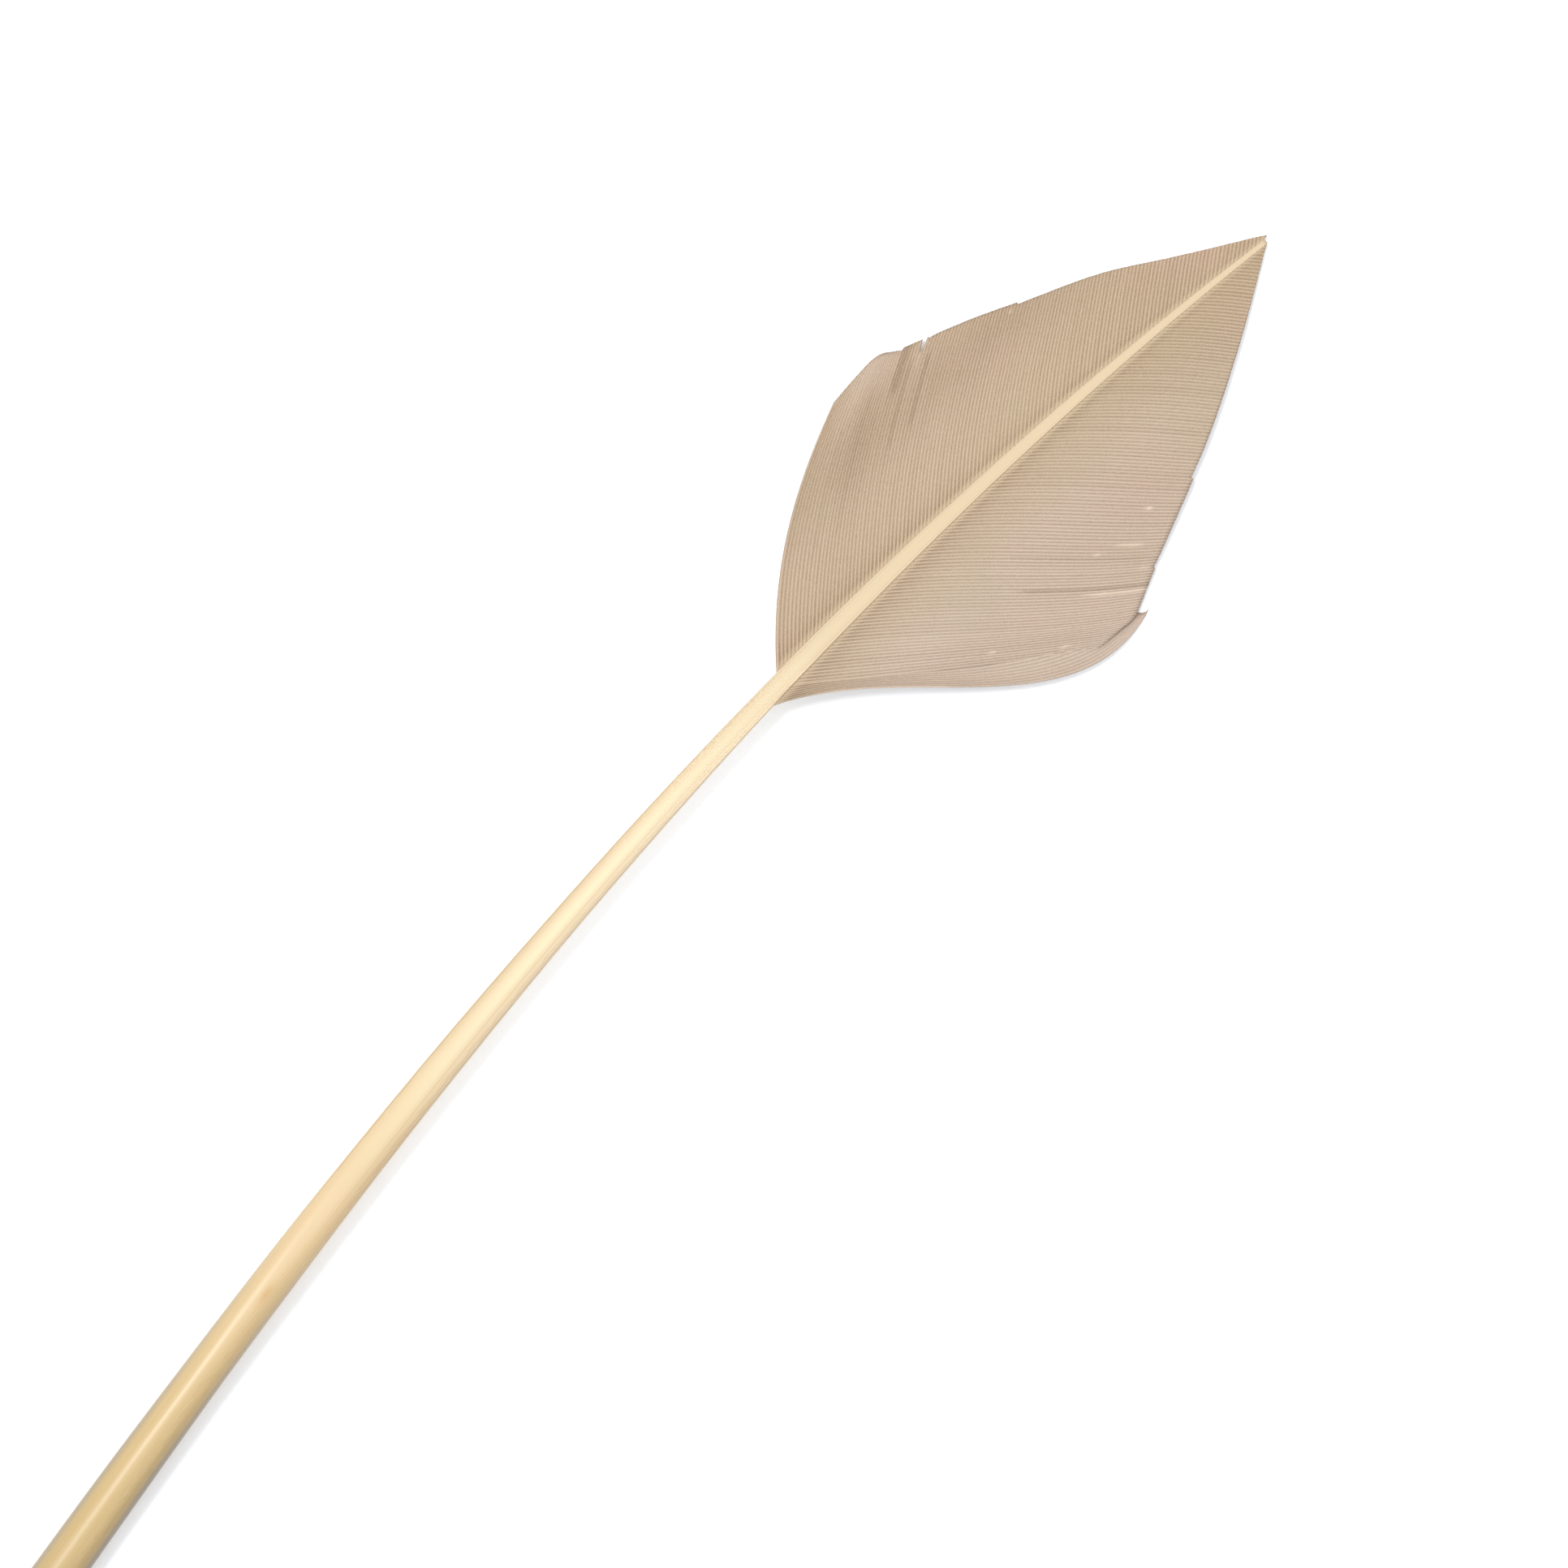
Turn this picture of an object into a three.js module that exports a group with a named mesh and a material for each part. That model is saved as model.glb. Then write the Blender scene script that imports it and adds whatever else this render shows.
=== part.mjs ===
// A turkey wing quill, stripped to a bare stem and trimmed to a spear-head vane at its tip.
// It lies on a surface with its upper side up. X runs from the quill's end to the feather's tip,
// Y towards the left vane and Z up from the surface. All sizes are in millimetres.

import * as THREE from 'three';
import { mergeVertices } from 'three/addons/utils/BufferGeometryUtils.js';

// The shaft's middle line: a low arch that also bows to the left.
const shaftEnd = new THREE.Vector3(0, 0, 3.7);
const shaftQuillPull = new THREE.Vector3(42.2, 3.2, 1.5);
const shaftVanePull = new THREE.Vector3(174.3, 23.5, 10.6);
const shaftTip = new THREE.Vector3(299.8, 0, 0.75);

// The shaft's section: a round quill that turns into a flat-topped, grooved stem.
const quillWidth = 8.05;
const tipWidth = 0.7;
const quillEndShare = 0.48;
const quillEndLength = 30;
const quillLength = 90;
const stemFormsOver = 45;
const stemHeightShare = 0.86;
const roundPower = 2;
const stemPower = 2.9;
const grooveDepthShare = 0.22;
const grooveWidthShare = 0.4;
const quillHoleDepth = 2.5;
const shaftSides = 18;
const shaftSteps = 52;

// The two webs of barbs. A barb starts at the shaft's side and ends on the trimmed edge.
const shaftGap = 0.3;
const rootThickness = 0.6;
const edgeThickness = 0.44;
const rootHeightShare = 0.2;
const droopPower = 1.5;
const barbPull = 0.36;
const lockCount = 24;
const lockRise = 0.14;
const barbSteps = 9;

// Guide barbs of each web, from its base to the feather's tip. Angles are degrees from the X axis.
// Each row is: distance of the root from the quill's end, angle at the root, end point, angle at the end.
const leftGuides = [
  [206, 44, [241, 31.8, 0.5], 17],
  [212, 40, [246.6, 31.9, 0.22], 19],
  [222, 39.5, [253.3, 29.4, 0.7], 22],
  [237, 39, [262.5, 24.8, 1.5], 25],
  [252, 38.5, [271.5, 19.7, 1.9], 28],
  [267, 38, [280.8, 14.5, 1.8], 32],
  [282, 37.5, [290, 7.9, 1.3], 35],
  [297.4, 37, [298.5, 1.8, 0.8], 37],
];
const rightGuides = [
  [202.5, -31, [247.6, -22.8, 0.22], 9],
  [207, -38, [247, -22.2, 0.3], 2],
  [213, -42, [246.3, -21.6, 0.5], -22],
  [220, -43, [248, -20.9, 0.8], -32],
  [235, -44, [257.3, -17.7, 1.4], -45],
  [250, -45, [267.3, -14.5, 1.9], -51],
  [266, -46, [278, -10.4, 1.8], -55],
  [282, -46, [288.2, -5.9, 1.3], -57],
  [297.4, -48, [298.1, -1.2, 0.8], -55],
];

const shaftLine = new THREE.CubicBezierCurve3(shaftEnd, shaftQuillPull, shaftVanePull, shaftTip);

// The shaft's width at a distance from the quill's end: an even taper, drawn in at the quill's end.
function shaftWidth(x) {
  const taper = THREE.MathUtils.lerp(quillWidth, tipWidth, x / shaftTip.x);
  const drawnIn = THREE.MathUtils.smoothstep(x, 0, quillEndLength);
  return taper * THREE.MathUtils.lerp(quillEndShare, 1, drawnIn);
}

// How far the round quill has turned into the flat-topped stem, from 0 to 1.
function stemShare(x) {
  return THREE.MathUtils.smoothstep(x, quillLength - stemFormsOver / 2, quillLength + stemFormsOver);
}

function shaftHeight(x) {
  return shaftWidth(x) * THREE.MathUtils.lerp(1, stemHeightShare, stemShare(x));
}

// The level direction to the left of the shaft at a point of its middle line.
function leftOf(t) {
  const along = shaftLine.getTangent(t);
  return new THREE.Vector3(-along.y, along.x, 0).normalize();
}

// The curve value at which the shaft's middle line reaches a distance from the quill's end.
function shaftValueAt(x) {
  let low = 0;
  let high = 1;
  for (let step = 0; step < 40; step += 1) {
    const middle = (low + high) / 2;
    if (shaftLine.getPoint(middle).x < x) low = middle;
    else high = middle;
  }
  return (low + high) / 2;
}

// Moves each shared point of a closed geometry to where a function puts it.
function reshape(geometry, place) {
  geometry.deleteAttribute('normal');
  geometry.deleteAttribute('uv');
  const closed = mergeVertices(geometry);
  const points = closed.getAttribute('position');
  const point = new THREE.Vector3();
  for (let index = 0; index < points.count; index += 1) {
    point.fromBufferAttribute(points, index);
    const placed = place(point);
    points.setXYZ(index, placed.x, placed.y, placed.z);
  }
  closed.computeVertexNormals();
  return closed;
}

// The section is a superellipse: a circle at the quill, with flatter sides and a groove below at the stem.
function makeShaft() {
  const rod = new THREE.CylinderGeometry(1, 1, 1, shaftSides, shaftSteps);
  return reshape(rod, (point) => {
    const t = point.y + 0.5;
    const middle = shaftLine.getPoint(t);
    const stem = stemShare(middle.x);
    const rim = Math.hypot(point.x, point.z);
    if (rim < 0.5) {
      const hole = t < 0.5 ? quillHoleDepth : 0;
      return middle.add(new THREE.Vector3(hole, 0, 0));
    }
    const power = 2 / THREE.MathUtils.lerp(roundPower, stemPower, stem);
    const across = Math.sign(point.z) * Math.abs(point.z) ** power;
    let upward = Math.sign(point.x) * Math.abs(point.x) ** power;
    if (upward < 0) {
      const groove = Math.exp(-((across / grooveWidthShare) ** 2));
      upward *= 1 - stem * grooveDepthShare * groove;
    }
    middle.addScaledVector(leftOf(t), across * shaftWidth(middle.x) / 2);
    middle.z = Math.max(0, middle.z + upward * shaftHeight(middle.x) / 2);
    return middle;
  });
}

function heading(degrees) {
  const angle = THREE.MathUtils.degToRad(degrees);
  return new THREE.Vector3(Math.cos(angle), Math.sin(angle), 0);
}

// A smooth run of points or of value triples, one for each guide barb.
function throughGuides(triples) {
  return new THREE.CatmullRomCurve3(triples, false, 'catmullrom', 0.5);
}

// Gives the line of the barb at any share of a web's length, from its base at 0 to the tip at 1.
// Seen from above, a barb leaves the shaft at one angle and bends to another at the edge.
function barbLines(guides, side) {
  const ends = throughGuides(guides.map(([, , end]) => new THREE.Vector3(...end)));
  const starts = throughGuides(
    guides.map(([rootX, rootAngle, , endAngle]) => new THREE.Vector3(rootX, rootAngle, endAngle)),
  );
  return (share) => {
    const { x: rootX, y: rootAngle, z: endAngle } = starts.getPoint(share);
    const t = shaftValueAt(rootX);
    const root = shaftLine.getPoint(t);
    root.addScaledVector(leftOf(t), side * (shaftWidth(rootX) / 2 + shaftGap));
    root.z += rootHeightShare * shaftHeight(rootX);
    const end = ends.getPoint(share);
    const pull = barbPull * root.distanceTo(end);
    const first = root.clone().addScaledVector(heading(rootAngle), pull);
    const second = end.clone().addScaledVector(heading(endAngle), -pull);
    return new THREE.CubicBezierCurve3(root, first, second, end);
  };
}

// A web is a thin sheet swept along its barbs, ridged into locks, that droops to its trimmed edge.
function makeVane(guides, side) {
  const barbAt = barbLines(guides, side);
  const sheet = new THREE.BoxGeometry(1, 1, 1, lockCount * 2, barbSteps, 1);
  return reshape(sheet, (point) => {
    const share = point.x + 0.5;
    const reach = 0.5 + side * point.y;
    const barb = barbAt(share);
    const placed = barb.getPoint(reach);
    const height = THREE.MathUtils.lerp(barb.v0.z, barb.v3.z, reach ** droopPower);
    const onRidge = Math.round(share * lockCount * 2) % 2 === 1;
    const thickness = THREE.MathUtils.lerp(rootThickness, edgeThickness, reach);
    placed.z = Math.max(0, height + (onRidge ? lockRise : 0) + point.z * thickness);
    return placed;
  });
}

function horn(color, roughness) {
  return new THREE.MeshStandardMaterial({ color, roughness, metalness: 0 });
}

function addPiece(group, name, geometry, material) {
  const piece = new THREE.Mesh(geometry, material);
  piece.name = name;
  group.add(piece);
}

const feather = new THREE.Group();
addPiece(feather, 'shaft', makeShaft(), horn('#f0dcb4', 0.4));
addPiece(feather, 'left_vane', makeVane(leftGuides, 1), horn('#c8b49b', 0.8));
addPiece(feather, 'right_vane', makeVane(rightGuides, -1), horn('#cdb7a2', 0.8));

// The origin is on the surface, under the middle of the feather's box.
const box = new THREE.Box3().setFromObject(feather);
const middle = box.getCenter(new THREE.Vector3());
feather.position.set(-middle.x, -middle.y, -box.min.z);

export default feather;
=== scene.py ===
# %% [markdown]
# A turkey wing quill that was stripped to a bare stem, with a spear-head of vane left at its tip.
# The solids of the frame give each piece its place and its size. This lesson dresses them: a fine
# shaft of horn, and two webs of single barbs, each web made as one mesh from arrays of points.

# %% Load the frame
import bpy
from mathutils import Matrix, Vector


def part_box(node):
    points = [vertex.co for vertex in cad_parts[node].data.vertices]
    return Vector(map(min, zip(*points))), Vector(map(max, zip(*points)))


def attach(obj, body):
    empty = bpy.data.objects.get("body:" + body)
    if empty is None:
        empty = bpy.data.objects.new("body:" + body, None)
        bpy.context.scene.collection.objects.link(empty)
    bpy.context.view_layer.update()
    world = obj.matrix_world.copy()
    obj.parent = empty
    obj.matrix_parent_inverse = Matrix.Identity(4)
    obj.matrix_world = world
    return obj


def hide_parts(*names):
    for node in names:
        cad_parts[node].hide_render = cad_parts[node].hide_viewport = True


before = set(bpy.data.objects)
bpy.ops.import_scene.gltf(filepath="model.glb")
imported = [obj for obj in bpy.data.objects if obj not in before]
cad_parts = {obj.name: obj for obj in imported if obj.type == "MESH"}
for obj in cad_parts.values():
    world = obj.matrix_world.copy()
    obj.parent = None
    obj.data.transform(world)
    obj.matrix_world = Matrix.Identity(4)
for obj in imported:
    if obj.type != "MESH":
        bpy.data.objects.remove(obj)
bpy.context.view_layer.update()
print("solids in the frame:", sorted(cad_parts))

# %% Other modules
import math

import bpy
import numpy as np

# %% [markdown]
# Everything on a feather hangs on its shaft, a low arch that also bows to one side. It could be drawn
# as a curve object, but arrays are easier to build on: one cubic curve gives the middle line, and a few
# formulas give the width and height of the section. All of it is in millimetres from the quill's end,
# with the left vane towards Y, the same values as the solids have.

# %% The shaft's middle line
SHAFT_LINE = np.array([(0, 0, 3.7), (42.2, 3.2, 1.5), (174.3, 23.5, 10.6), (299.8, 0, 0.75)])
SHAFT_LENGTH = SHAFT_LINE[3, 0]


def cubic(controls, t):
    """Points of a cubic curve at the values t, by its four control points."""
    start, leave, arrive, end = controls
    t = np.asarray(t, float)[..., None]
    back = 1 - t
    return back**3 * start + 3 * back**2 * t * leave + 3 * back * t**2 * arrive + t**3 * end


def cubic_heading(controls, t):
    """The direction and speed of a cubic curve at the values t."""
    start, leave, arrive, end = controls
    t = np.asarray(t, float)[..., None]
    back = 1 - t
    return 3 * (back**2 * (leave - start) + 2 * back * t * (arrive - leave) + t**2 * (end - arrive))


LINE_STEPS = 2001
line_values = np.linspace(0, 1, LINE_STEPS)
line_x = cubic(SHAFT_LINE, line_values)[:, 0]


def shaft_at(x):
    """Middle point of the shaft, and the level direction to its left, at distances x."""
    t = np.interp(x, line_x, line_values)
    ahead = cubic_heading(SHAFT_LINE, t)
    left = np.stack([-ahead[..., 1], ahead[..., 0], np.zeros_like(t)], -1)
    return cubic(SHAFT_LINE, t), left / np.linalg.norm(left, axis=-1, keepdims=True)


print("highest point of the middle line:", round(cubic(SHAFT_LINE, line_values)[:, 2].max(), 2), "mm")

# %% The shaft's section
QUILL_WIDTH = 8.05
TIP_WIDTH = 0.7
QUILL_END_SHARE = 0.48
QUILL_END_LENGTH = 30
QUILL_LENGTH = 90
STEM_FORMS_OVER = 45
STEM_HEIGHT_SHARE = 0.86
VANE_BEGINS = 205.0


def lerp(first, second, share):
    return first + (second - first) * share


def smooth(x, low, high):
    """An S-shaped step from 0 at low to 1 at high."""
    t = np.clip((x - low) / (high - low), 0, 1)
    return t * t * (3 - 2 * t)


def bell(x, centre, width):
    return np.exp(-(((x - centre) / width) ** 2))


def shaft_width(x):
    taper = lerp(QUILL_WIDTH, TIP_WIDTH, x / SHAFT_LENGTH)
    return taper * lerp(QUILL_END_SHARE, 1, smooth(x, 0, QUILL_END_LENGTH))


def stem_share(x):
    """How far the round quill has turned into the flat-topped stem, from 0 to 1."""
    return smooth(x, QUILL_LENGTH - STEM_FORMS_OVER / 2, QUILL_LENGTH + STEM_FORMS_OVER)


def shaft_height(x):
    return shaft_width(x) * lerp(1, STEM_HEIGHT_SHARE, stem_share(x))


print("width where the vane begins:", round(float(shaft_width(VANE_BEGINS)), 2), "mm")

# %% From millimetres to the frame
MM = 0.001

shaft_low, shaft_high = (np.array(corner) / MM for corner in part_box("shaft"))
line_points, line_left = shaft_at(line_x)
line_half = line_left * shaft_width(line_x)[:, None] / 2
shaft_sides = np.concatenate([line_points + line_half, line_points - line_half])
frame_shift = (shaft_low + shaft_high - shaft_sides.min(0) - shaft_sides.max(0)) / 2
frame_shift[2] = 0


def to_frame(points):
    """Points in metres in the frame, from millimetres along the feather."""
    return (points + frame_shift) * MM


print("the quill's end lies at", to_frame(np.zeros(3)).round(5))

# %% [markdown]
# A mesh from arrays needs faces between its rings of points, and values on its points that the
# materials can read later. One helper makes the faces and another the finished piece, so that the
# shaft and both webs are made in the same way. The map that goes with each piece lays its strips out
# side by side, so that fine streaks along a strip have room.

# %% Rings into faces
def ring_faces(rings, sides):
    """Four-cornered faces between each ring of points and the next."""
    ring, side = np.meshgrid(np.arange(rings - 1), np.arange(sides), indexing="ij")
    after = (side + 1) % sides
    corners = [ring * sides + side, ring * sides + after]
    corners += [(ring + 1) * sides + after, (ring + 1) * sides + side]
    return np.stack(corners, -1).reshape(-1, 4)


def ring_map(rings, sides):
    """Where each corner of those faces lies on a strip: its share along and its share around."""
    ring, side = np.meshgrid(np.arange(rings - 1), np.arange(sides), indexing="ij")
    along = np.stack([ring, ring, ring + 1, ring + 1], -1) / (rings - 1)
    around = np.stack([side, side + 1, side + 1, side], -1) / sides
    return np.stack([along, around], -1).reshape(-1, 4, 2)


def cap_map(sides):
    """A small round place on a strip's map for a closing face."""
    turn = np.arange(sides) / sides * 2 * math.pi
    return np.stack([0.5 + 0.5 * np.cos(turn), 0.5 + 0.5 * np.sin(turn)], -1)


print("three rings of 12 points have", len(ring_faces(3, 12)), "faces between them")

# %% Arrays into a piece
def add_piece(name, points, faces, spots, layers):
    """A smooth mesh that rides on the feather, with a place on its map for each corner of its faces."""
    mesh = bpy.data.meshes.new(name)
    mesh.from_pydata(to_frame(points).tolist(), [], faces)
    mesh.shade_smooth()
    mesh.uv_layers.new(name="OFBake").data.foreach_set("uv", spots.ravel())
    for layer, values in layers.items():
        mesh.attributes.new(layer, "FLOAT", "POINT").data.foreach_set("value", values.ravel())
    piece = bpy.data.objects.new(name, mesh)
    bpy.context.scene.collection.objects.link(piece)
    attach(piece, "root")
    triangles = sum(len(face) - 2 for face in faces)
    print(name, "has", triangles, "triangles")
    return piece


print("pieces ride on the feather's one body, root")

# %% [markdown]
# The shaft begins as the quill, a round hollow tube of clear horn with an open end. Towards the vane it
# fills with pith and turns into a stem with a flat top, a groove below and a sharp edge on each side.
# A lathe can't make that, so each ring of points is worked out from where it is along the shaft.

# %% Rings of the shaft
TOP_POINTS = 52
BELOW_POINTS = 28
OUTER_RINGS = 400
OUTER_FROM = 1.2
# Each row: distance from the quill's end and share of the full size, out of the hollow and over its rim.
QUILL_WALL = [(6.0, 0.5), (3.0, 0.62), (0.6, 0.68), (0.1, 0.74), (0.0, 0.84), (0.1, 0.94), (0.45, 1.0)]

wall_x, wall_size = np.transpose(QUILL_WALL)
outer_x = np.linspace(OUTER_FROM, SHAFT_LENGTH, OUTER_RINGS)
ring_x = np.concatenate([wall_x, outer_x])[:, None]
ring_size = np.concatenate([wall_size, np.ones(OUTER_RINGS)])[:, None]
over_top = np.linspace(0, math.pi, TOP_POINTS, endpoint=False)
under = np.linspace(math.pi, 2 * math.pi, BELOW_POINTS, endpoint=False)
turn = np.concatenate([over_top, under])[None, :]
print(len(ring_x), "rings of", turn.size, "points")

# %% From a round quill to a grooved stem
ROUND_POWER = 2
STEM_POWER = 2.9
GROOVE_DEPTH_SHARE = 0.22
GROOVE_WIDTH_SHARE = 0.4

stem = stem_share(ring_x)
power = 2 / lerp(ROUND_POWER, STEM_POWER, stem)
across = np.sign(np.cos(turn)) * np.abs(np.cos(turn)) ** power
upward = np.sign(np.sin(turn)) * np.abs(np.sin(turn)) ** power
on_top = upward >= 0
groove = 1 - stem * GROOVE_DEPTH_SHARE * bell(across, 0, GROOVE_WIDTH_SHARE)
print("the groove below takes", GROOVE_DEPTH_SHARE, "of the stem's depth")

# %% The stem's flat top and its lips
FLAT_TOP_FROM = 168
FLAT_TOP_AT = 214
FLAT_TOP_STEEPNESS = 4
LIP_AT = 0.85
LIP_HEIGHT = 0.07
LIP_WIDTH = 0.05
LIP_GROOVE_AT = 0.72
LIP_GROOVE_DEPTH = 0.042
SIDE_DROP = 0.4

edge = np.abs(across)
lips = LIP_HEIGHT * bell(edge, LIP_AT, LIP_WIDTH)
lips -= LIP_GROOVE_DEPTH * bell(edge, LIP_GROOVE_AT, LIP_WIDTH)
flat_top = 1 - SIDE_DROP * smooth(edge, LIP_AT, 1.0) + lips
flat_top = np.minimum(flat_top, np.maximum(upward * FLAT_TOP_STEEPNESS, 0))
flat_share = smooth(ring_x, FLAT_TOP_FROM, FLAT_TOP_AT)
upward = np.where(on_top, lerp(upward, flat_top, flat_share), upward * groove)
print("flat top from", FLAT_TOP_FROM, "mm, complete at", FLAT_TOP_AT, "mm")

# %% [markdown]
# Below the vane the barbs were pulled off. Each pull tore a sliver of the horn's skin with it, so fine
# lines run along both sides of the bare stem. They drift to the edge and start again a few millimetres
# further on. Lines in a bump map would vanish in the exported mesh, so they are pressed into the points.

# %% Scars of the stripped barbs
SCAR_FROM = 92
SCAR_TO = 207
SCAR_FADES_IN = 25
SCAR_FADES_OUT = 3
SCAR_DEPTH = 0.07
SCAR_WIDTH = 0.028
SCAR_SPAN = 6.4
SCAR_WOBBLE = 1.7
SCAR_WOBBLE_LENGTH = 11
# Each row: place across the stem, drift towards its edge, and a start along the stem.
SCARS = [(-0.7, 0.06, 0.0), (-0.86, 0.05, 2.6), (0.87, 0.05, 4.1)]

scarred = smooth(ring_x, SCAR_FROM, SCAR_FROM + SCAR_FADES_IN)
scarred *= 1 - smooth(ring_x, SCAR_TO - SCAR_FADES_OUT, SCAR_TO)
scar = np.zeros(across.shape)
for place, drift, start in SCARS:
    wobble = SCAR_WOBBLE * np.sin(ring_x / SCAR_WOBBLE_LENGTH + start)
    pull = (ring_x + start + wobble) / SCAR_SPAN % 1
    scar = np.maximum(scar, bell(across, place + math.copysign(drift, place) * pull, SCAR_WIDTH))
scar = scar * scarred * on_top
print("scar lines pressed into", int((scar > 0.5).sum()), "points")

# %% The shaft's points
GROWTH_WAVE = 0.012
SHORT_GROWTH = 9.1
LONG_GROWTH = 23
PIT_AT = 97
PIT_DEPTH = 0.4
PIT_LENGTH = 2.2
PIT_WIDTH = 0.22

middle, left = shaft_at(ring_x)
grown = 1 + GROWTH_WAVE * np.sin(ring_x / SHORT_GROWTH) * np.sin(ring_x / LONG_GROWTH + 1)
half_width = shaft_width(ring_x) / 2 * ring_size * grown
half_height = shaft_height(ring_x) / 2 * ring_size * grown
pit = PIT_DEPTH * bell(ring_x, PIT_AT, PIT_LENGTH) * bell(across, 0, PIT_WIDTH) * ~on_top
shaft_points = middle + left * (across * half_width)[..., None]
shaft_points[..., 2] += upward * half_height - SCAR_DEPTH * scar + pit
shaft_points[..., 2] = np.maximum(shaft_points[..., 2], 0)
print("shaft from", shaft_points[..., 0].min().round(2), "to", shaft_points[..., 0].max().round(2), "mm")

# %% The shaft's map
SHAFT_MAP_ROWS = 10
ROW_LENGTH = 0.95
ROW_HEIGHT = 0.96
CAP_SIZE = 0.03
CAP_PLACES = [(0.96, 0.02), (0.96, 0.12)]

rings, ring_points = across.shape
strip_spots = ring_map(rings, ring_points)
strip_row = np.minimum((strip_spots[:, :1, 0] * SHAFT_MAP_ROWS).astype(int), SHAFT_MAP_ROWS - 1)
strip_spots[..., 0] = (strip_spots[..., 0] * SHAFT_MAP_ROWS - strip_row) * ROW_LENGTH
strip_spots[..., 1] = (strip_row + strip_spots[..., 1] * ROW_HEIGHT) / SHAFT_MAP_ROWS
cap_spots = cap_map(ring_points) * CAP_SIZE
shaft_spots = [strip_spots.reshape(-1, 2)] + [cap_spots + place for place in CAP_PLACES]
shaft_spots = np.concatenate(shaft_spots)
print("the shaft's map has", len(shaft_spots), "corners in", SHAFT_MAP_ROWS, "rows")

# %% The shaft as a piece
QUILL_RIM = 0.8

inner_cap = list(range(ring_points))[::-1]
tip_cap = list(range((rings - 1) * ring_points, rings * ring_points))
shaft_faces = ring_faces(rings, ring_points).tolist() + [inner_cap, tip_cap]
shaft_layers = {
    "along": ring_x + 0 * across,
    "across": across,
    "upward": upward,
    "scar": scar,
    "inside": (ring_size < QUILL_RIM) + 0 * across,
}
shaft = add_piece("shaft_horn", shaft_points.reshape(-1, 3), shaft_faces, shaft_spots, shaft_layers)
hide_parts("shaft")

# %% [markdown]
# Materials are node trees, and their maths is easier to read as Python. A small class wraps one
# output of a node: the usual operators on it add Math nodes, and one method makes any other node.

# %% Node maths as Python
class Wire:
    """One output of a material's nodes."""

    def __init__(self, tree, socket=None):
        self.tree = tree
        self.socket = socket

    def node(self, kind, settings, values, output=0):
        """Makes a node. Its settings come first, then a value or a wire for each of its sockets."""
        made = self.tree.nodes.new(kind)
        for name, setting in settings.items():
            if name == "stops":
                self.set_stops(made.color_ramp, setting)
            else:
                setattr(made, name, setting)
        for name, value in values.items():
            if isinstance(value, Wire):
                self.tree.links.new(value.socket, made.inputs[name])
            else:
                made.inputs[name].default_value = value
        return Wire(self.tree, made.outputs[output])

    @staticmethod
    def set_stops(ramp, stops):
        while len(ramp.elements) < len(stops):
            ramp.elements.new(1)
        for element, (position, colour) in zip(ramp.elements, stops):
            element.position = position
            element.color = colour

    def math(self, operation, *values):
        return self.node("ShaderNodeMath", {"operation": operation}, dict(enumerate(values)))

    def __add__(self, other):
        return self.math("ADD", self, other)

    def __sub__(self, other):
        return self.math("SUBTRACT", self, other)

    def __rsub__(self, other):
        return self.math("SUBTRACT", other, self)

    def __mul__(self, other):
        return self.math("MULTIPLY", self, other)

    def __truediv__(self, other):
        return self.math("DIVIDE", self, other)

    __radd__ = __add__
    __rmul__ = __mul__

    def bell(self, centre, width):
        """1 at the centre, and falling to 0 on both sides of it."""
        offset = (self - centre) / width
        falling = 0 - offset * offset
        return falling.math("EXPONENT", falling)

    def step(self, low, high):
        """An S-shaped step from 0 at low to 1 at high."""
        settings = {"interpolation_type": "SMOOTHSTEP"}
        return self.node("ShaderNodeMapRange", settings, {0: self, 1: low, 2: high})

    def blend(self, first, second):
        """The first colour where this is 0, the second where it is 1."""
        return self.node("ShaderNodeMix", {"data_type": "RGBA"}, {0: self, 6: first, 7: second}, 2)


print("shader maths ready")

# %% A material's first nodes
def new_finish(name):
    """A new material, and a wire from which its first nodes are made."""
    material = bpy.data.materials.new(name)
    material.use_nodes = True
    return material, Wire(material.node_tree)


def read_layer(start, layer):
    """The value that a piece's points hold under that name."""
    return start.node("ShaderNodeAttribute", {"attribute_name": layer}, {}, "Fac")


def finish_with(material, values):
    """Sets or links the sockets of the material's surface."""
    surface = material.node_tree.nodes["Principled BSDF"]
    for name, value in values.items():
        if isinstance(value, Wire):
            material.node_tree.links.new(value.socket, surface.inputs[name])
        else:
            surface.inputs[name].default_value = value


def rgb(red, green, blue):
    """A colour as shown on a screen, from 0 to 255, turned into light."""
    shown = np.array([red, green, blue]) / 255
    light = np.where(shown <= 0.04045, shown / 12.92, ((shown + 0.055) / 1.055) ** 2.4)
    return (*light.tolist(), 1.0)


print("cream horn is", np.round(rgb(222, 200, 164), 3))

# %% Ramps, tints and grain
GRAIN_DEPTH = 0.06 * MM


def ramp_along(place, colours):
    """A colour at every place, from a few places and their colours."""
    first, last = colours[0][0], colours[-1][0]
    stops = [((x - first) / (last - first), colour) for x, colour in colours]
    share = (place - first) / (last - first)
    return place.node("ShaderNodeValToRGB", {"stops": stops}, {0: share}, "Color")


def lay_tints(colour, tints):
    """The colour under thin coats of tint. Each coat covers as much as its mask says, from 0 to 1."""
    for mask, tint in tints:
        colour = mask.blend(colour, tint)
    return colour


def grain_from(height, strength):
    """A fine relief for a surface, from a height between 0 and 1."""
    values = {"Strength": strength, "Distance": GRAIN_DEPTH, "Height": height}
    return height.node("ShaderNodeBump", {}, values, "Normal")


print("grain is", GRAIN_DEPTH / MM, "mm deep")

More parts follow.
